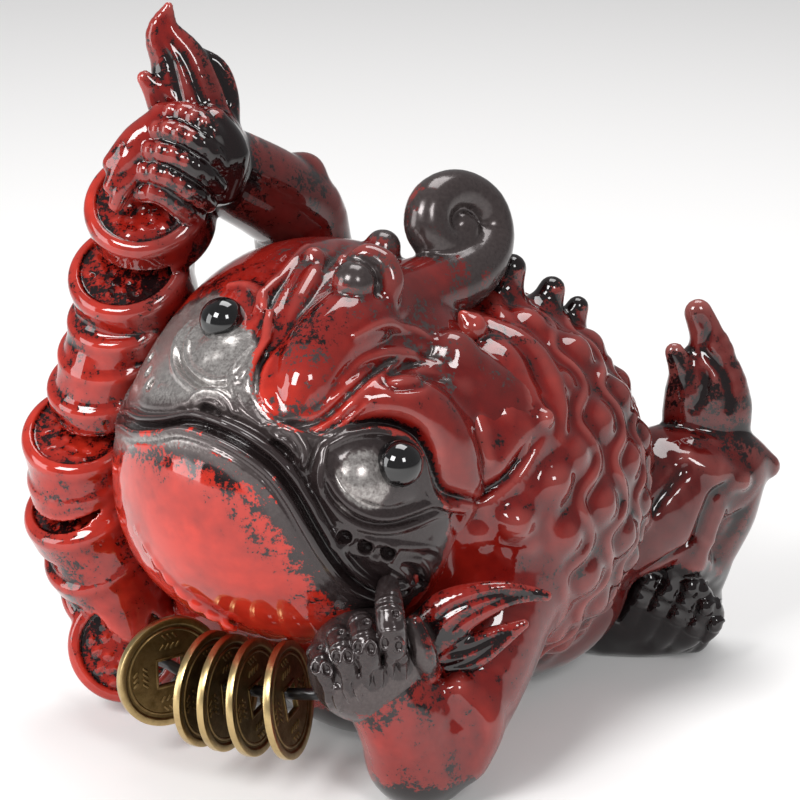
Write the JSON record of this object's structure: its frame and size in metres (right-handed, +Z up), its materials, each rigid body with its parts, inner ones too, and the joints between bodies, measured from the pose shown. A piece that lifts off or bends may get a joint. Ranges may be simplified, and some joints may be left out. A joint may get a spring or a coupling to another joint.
{
  "type": "money toad figure",
  "caption": "Glazed ceramic toad leaning on its fist, curled horn and warty back, a raised arm holding a string of clay coins, and brass square-holed coins on a cord.",
  "frame": {"origin": "on the ground, on the flat underside of the belly", "axes": "+Z up, +X towards the hind leg, -Y towards the display side with the face and the brass coins"},
  "size_m": [0.1915, 0.1346, 0.178],
  "materials": {
    "red_grey_glaze": "glossy mottled red glaze on fired clay, breaking to grey-brown on the mask, fists, horn and feet",
    "black_cord": "glossy black round cord",
    "aged_brass": "aged brass, darker in the field and worn bright on the rims"
  },
  "bodies": {
    "root": {"toad": "red_grey_glaze", "coin_cord": "black_cord", "brass_coin_1": "aged_brass", "brass_coin_2": "aged_brass", "brass_coin_3": "aged_brass", "brass_coin_4": "aged_brass", "brass_coin_5": "aged_brass"}
  },
  "joints": []
}
